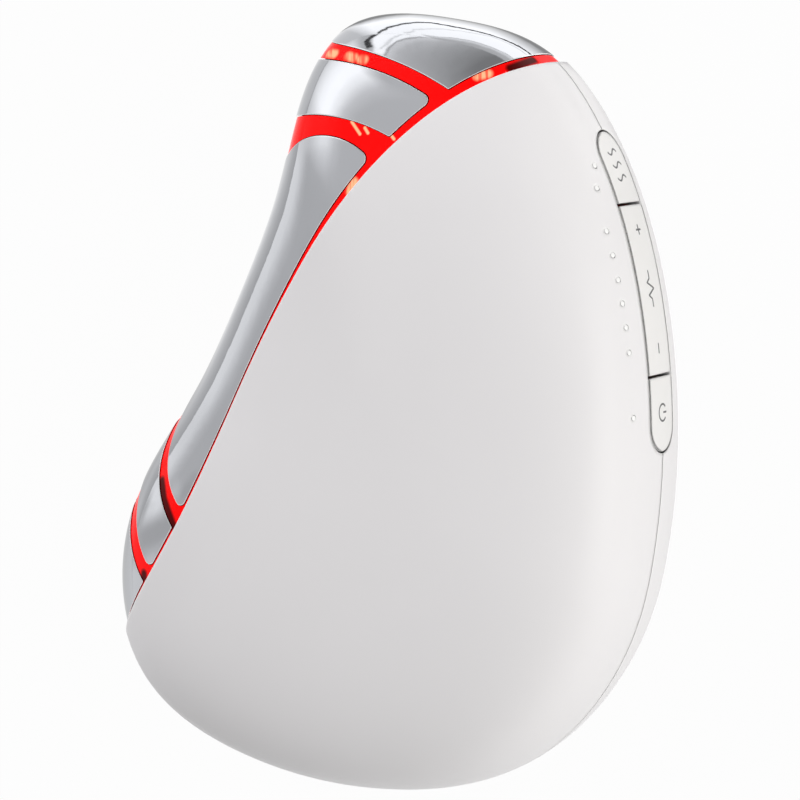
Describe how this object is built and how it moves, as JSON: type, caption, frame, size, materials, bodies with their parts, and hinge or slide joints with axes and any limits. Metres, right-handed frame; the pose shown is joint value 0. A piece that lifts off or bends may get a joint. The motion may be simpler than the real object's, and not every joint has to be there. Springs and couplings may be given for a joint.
{
  "type": "face massager",
  "caption": "Pebble-shaped handheld face massager with a chromed working edge over glowing bands, side keys with indicator dots and a charging socket.",
  "frame": {"origin": "middle of the rear rest face's level, under the centre of the part's box", "axes": "+Z out of the front shell, +Y towards the crown end, +X towards the key side"},
  "size_m": [0.0715, 0.1035, 0.0311],
  "materials": {
    "white_shell": "satin moulded white",
    "chrome_plate": "polished plating",
    "red_guide": "translucent red, lit from inside",
    "key_white": "satin moulded white",
    "light_bar": "milky clear",
    "circuit_board": "solder mask",
    "black_package": "moulded package",
    "cream_package": "moulded package",
    "ferrite": "sintered",
    "aluminium_can": "drawn can",
    "steel": "zinc plated",
    "brass_contact": "turned",
    "cell_foil": "laminated foil",
    "foam": "closed-cell foam",
    "amber_film": "polyimide film",
    "lead_sleeve": "insulated wire",
    "ribbon_sleeve": "flat flexible cable"
  },
  "bodies": {
    "housing": {"front_shell": "white_shell", "rear_shell": "white_shell", "light_guide": "red_guide", "crown_electrode": "chrome_plate", "upper_shoulder_electrode": "chrome_plate", "long_edge_electrode": "chrome_plate", "lower_shoulder_electrode": "chrome_plate", "tip_electrode": "chrome_plate", "indicator_light_bar": "light_bar", "rocker_pin": "steel", "key_board": "circuit_board", "tact_switches": "black_package", "indicator_leds": "cream_package", "main_board": "circuit_board", "controller_chip": "black_package", "charger_chip": "black_package", "boost_inductor": "ferrite", "smoothing_capacitors": "aluminium_can", "usb_socket": "steel", "usb_contact_blade": "black_package", "battery_cell": "cell_foil", "battery_pad": "foam", "battery_leads": "lead_sleeve", "board_screws": "steel", "glow_board": "circuit_board", "red_leds": "cream_package", "link_ribbon": "ribbon_sleeve", "electrode_studs": "brass_contact", "heater_film": "amber_film", "temperature_sensor": "black_package"},
    "heat_key": {"heat_key": "key_white"},
    "level_rocker": {"level_rocker": "key_white"},
    "power_key": {"power_key": "key_white"}
  },
  "joints": [
    {"name": "heat_press", "type": "slide", "parent": "housing", "child": "heat_key", "axis": [-0.8393, -0.5437, 0], "range_m": [0, 0.0004], "stiffness_N_per_m": 2000},
    {"name": "power_press", "type": "slide", "parent": "housing", "child": "power_key", "axis": [-0.8393, -0.5437, 0], "range_m": [0, 0.0004], "stiffness_N_per_m": 2000},
    {"name": "level_rock", "type": "hinge", "parent": "housing", "child": "level_rocker", "pos_m": [0.01824, 0.02787, 0.0155], "axis": [0, 0, 1], "range_deg": [-2, 2], "stiffness_Nm_per_rad": 0.2}
  ]
}
